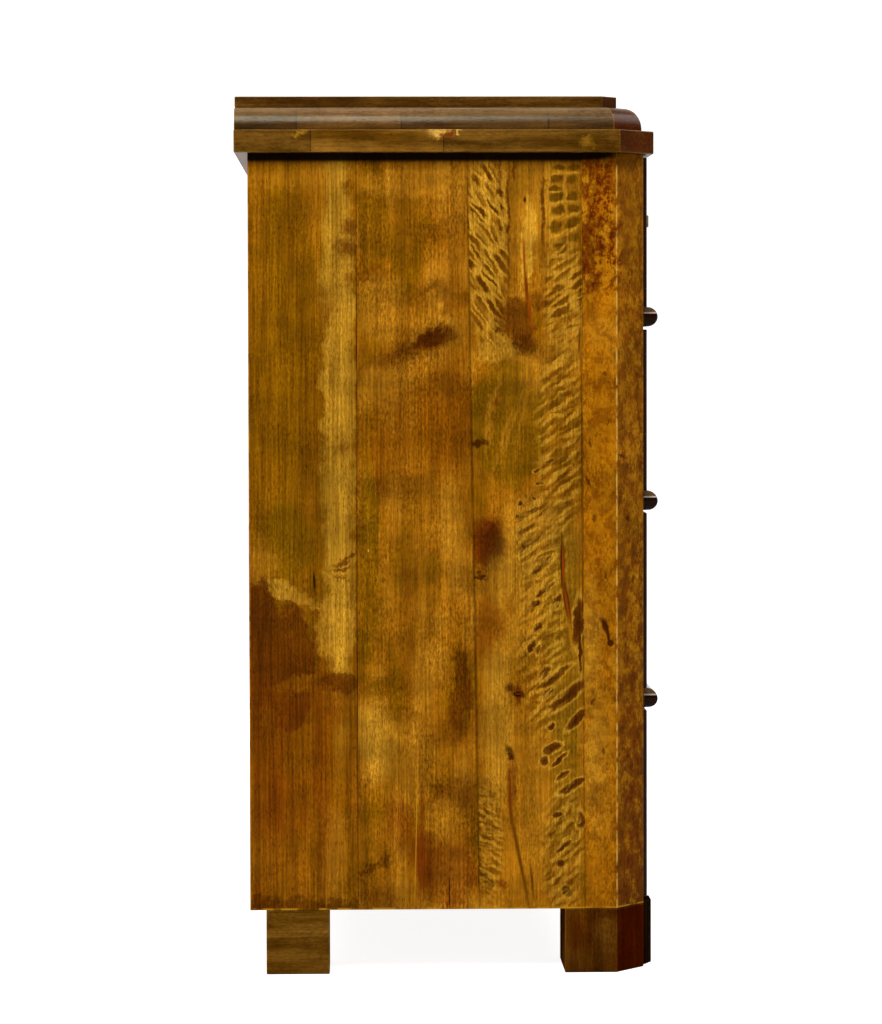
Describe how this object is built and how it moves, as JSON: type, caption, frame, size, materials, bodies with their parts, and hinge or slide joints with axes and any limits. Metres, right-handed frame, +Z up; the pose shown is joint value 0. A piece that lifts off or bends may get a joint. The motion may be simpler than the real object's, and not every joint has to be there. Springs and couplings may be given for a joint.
{
  "type": "chest of drawers",
  "caption": "Chest with canted front corners, a stepped moulded top, block feet and proud drawer fronts with half-round pulls; a key works the lock of the top drawer.",
  "frame": {"origin": "on the floor, under the middle of the overall box from the key's bow to the back edge of the top", "axes": "+Z up, +X to the right seen from the front, the front faces -Y"},
  "size_m": [1.128, 0.547, 1.0541],
  "materials": {
    "side_birch": "shellac gloss",
    "front_birch": "shellac gloss",
    "dark_birch": "stained, satin",
    "ebonised_birch": "black, satin",
    "pine": "bare, aged",
    "lock_iron": "dark iron",
    "key_steel": "worn steel"
  },
  "bodies": {
    "case": {"back_board_bottom": "pine", "back_board_middle": "pine", "back_board_top": "pine", "bottom_board": "pine", "bottom_rail": "pine", "cornice_front": "dark_birch", "cornice_left": "dark_birch", "cornice_left_corner": "dark_birch", "cornice_right": "dark_birch", "cornice_right_corner": "dark_birch", "drawer_guides": "pine", "drawer_rail_1": "pine", "drawer_rail_2": "pine", "drawer_rail_3": "pine", "drawer_runners": "pine", "left_corner_post": "side_birch", "left_foot_facing": "ebonised_birch", "left_front_foot": "dark_birch", "left_rear_foot": "dark_birch", "left_side_front_board": "side_birch", "left_side_middle_board": "side_birch", "left_side_rear_board": "side_birch", "right_corner_post": "side_birch", "right_foot_facing": "ebonised_birch", "right_front_foot": "dark_birch", "right_rear_foot": "dark_birch", "right_side_front_board": "side_birch", "right_side_middle_board": "side_birch", "right_side_rear_board": "side_birch", "top_board": "dark_birch", "top_core": "pine", "top_panel": "dark_birch", "top_rail": "pine"},
    "drawer_1": {"drawer_1_back": "pine", "drawer_1_bottom": "pine", "drawer_1_front": "front_birch", "drawer_1_left_side": "pine", "drawer_1_pull": "dark_birch", "drawer_1_right_side": "pine", "keyhole_plate": "ebonised_birch", "lock_case": "lock_iron"},
    "drawer_2": {"drawer_2_back": "pine", "drawer_2_bottom": "pine", "drawer_2_front": "front_birch", "drawer_2_left_side": "pine", "drawer_2_pull": "dark_birch", "drawer_2_right_side": "pine"},
    "drawer_3": {"drawer_3_back": "pine", "drawer_3_bottom": "pine", "drawer_3_front": "front_birch", "drawer_3_left_side": "pine", "drawer_3_pull": "dark_birch", "drawer_3_right_side": "pine"},
    "drawer_4": {"drawer_4_back": "pine", "drawer_4_bottom": "pine", "drawer_4_front": "front_birch", "drawer_4_left_side": "pine", "drawer_4_right_side": "pine"},
    "drawer_key": {"drawer_key": "key_steel"},
    "lock_bolt": {"lock_bolt": "lock_iron"}
  },
  "joints": [
    {"name": "drawer_1_slide", "type": "slide", "parent": "case", "child": "drawer_1", "axis": [0, -1, 0], "range_m": [0, 0.34]},
    {"name": "drawer_2_slide", "type": "slide", "parent": "case", "child": "drawer_2", "axis": [0, -1, 0], "range_m": [0, 0.34]},
    {"name": "drawer_3_slide", "type": "slide", "parent": "case", "child": "drawer_3", "axis": [0, -1, 0], "range_m": [0, 0.34]},
    {"name": "drawer_4_slide", "type": "slide", "parent": "case", "child": "drawer_4", "axis": [0, -1, 0], "range_m": [0, 0.34]},
    {"name": "key_turn", "type": "hinge", "parent": "drawer_1", "child": "drawer_key", "pos_m": [0, -0.2255, 0.9236], "axis": [0, 1, 0], "range_deg": [-8, 368]},
    {"name": "bolt_slide", "type": "slide", "parent": "drawer_1", "child": "lock_bolt", "axis": [0, 0, 1], "range_m": [0, 0.008]}
  ],
  "couplings": [
    {"joint": "key_turn", "follows": "bolt_slide", "rad_per_m": 785}
  ]
}
